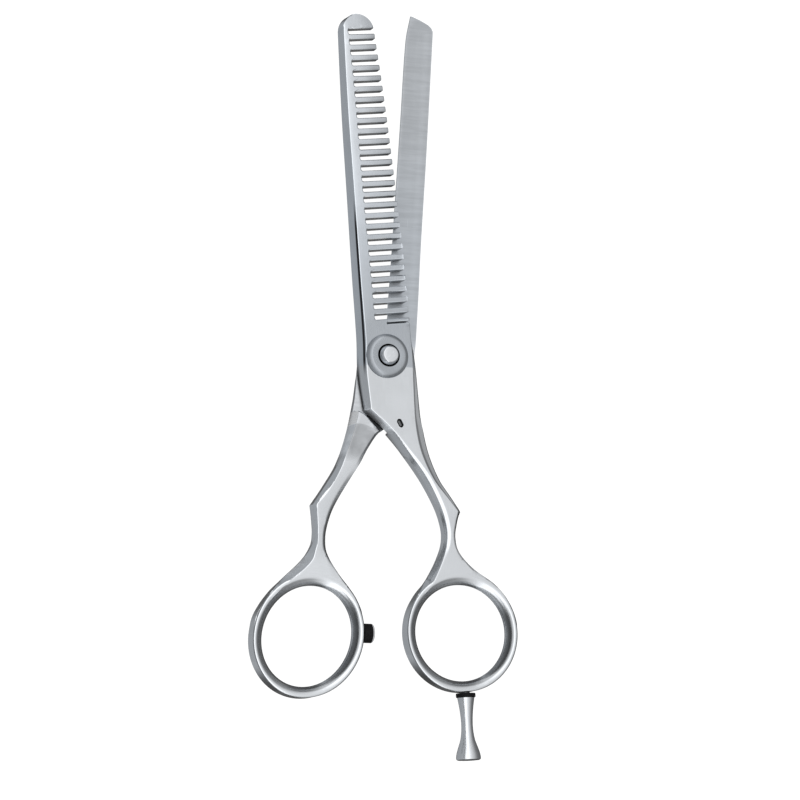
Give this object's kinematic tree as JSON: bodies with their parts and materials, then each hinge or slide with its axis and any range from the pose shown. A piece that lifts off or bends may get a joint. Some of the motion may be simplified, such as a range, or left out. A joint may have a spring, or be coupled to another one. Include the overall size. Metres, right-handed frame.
{
  "type": "thinning shears",
  "caption": "Hand shears for thinning hair: a toothed blade and a plain blade crossing on a tension pivot, with oval finger rings, a rubber bumper and a finger rest.",
  "frame": {"origin": "centre of the tension nut's flat underside, on the pivot axis", "axes": "+X across the shears towards the finger-rest side, +Y from the pivot towards the blade tips, +Z along the pivot axis towards the screw's button, with the shears lying flat and part open"},
  "size_m": [0.061, 0.1654, 0.0114],
  "materials": {
    "polished_steel": "polished with fine lengthwise lines",
    "satin_steel": "satin, ground across the blade",
    "pivot_steel": "turned satin",
    "spring_steel": "plain",
    "bronze": "sintered",
    "polymer": "matte",
    "rubber": "smooth moulded"
  },
  "bodies": {
    "toothed_body": {"toothed_half": "polished_steel", "pivot_screw": "polished_steel", "pivot_disc": "pivot_steel", "bearing_bush": "bronze", "spring_washer": "spring_steel", "finger_rest": "polished_steel", "finger_rest_washer": "rubber"},
    "plain_body": {"plain_half": "satin_steel", "rubber_bumper": "rubber", "glide_washer": "polymer", "thrust_washer": "polymer"},
    "nut_body": {"tension_nut": "pivot_steel"}
  },
  "joints": [
    {"name": "blade_pivot", "type": "hinge", "parent": "toothed_body", "child": "plain_body", "pos_m": [0, 0, 0.0058], "axis": [0, 0, 1], "range_deg": [-80, 7]},
    {"name": "tension_dial", "type": "hinge", "parent": "toothed_body", "child": "nut_body", "pos_m": [0, 0, 0.0018], "axis": [0, 0, 1], "range_deg": [-180, 180]}
  ]
}
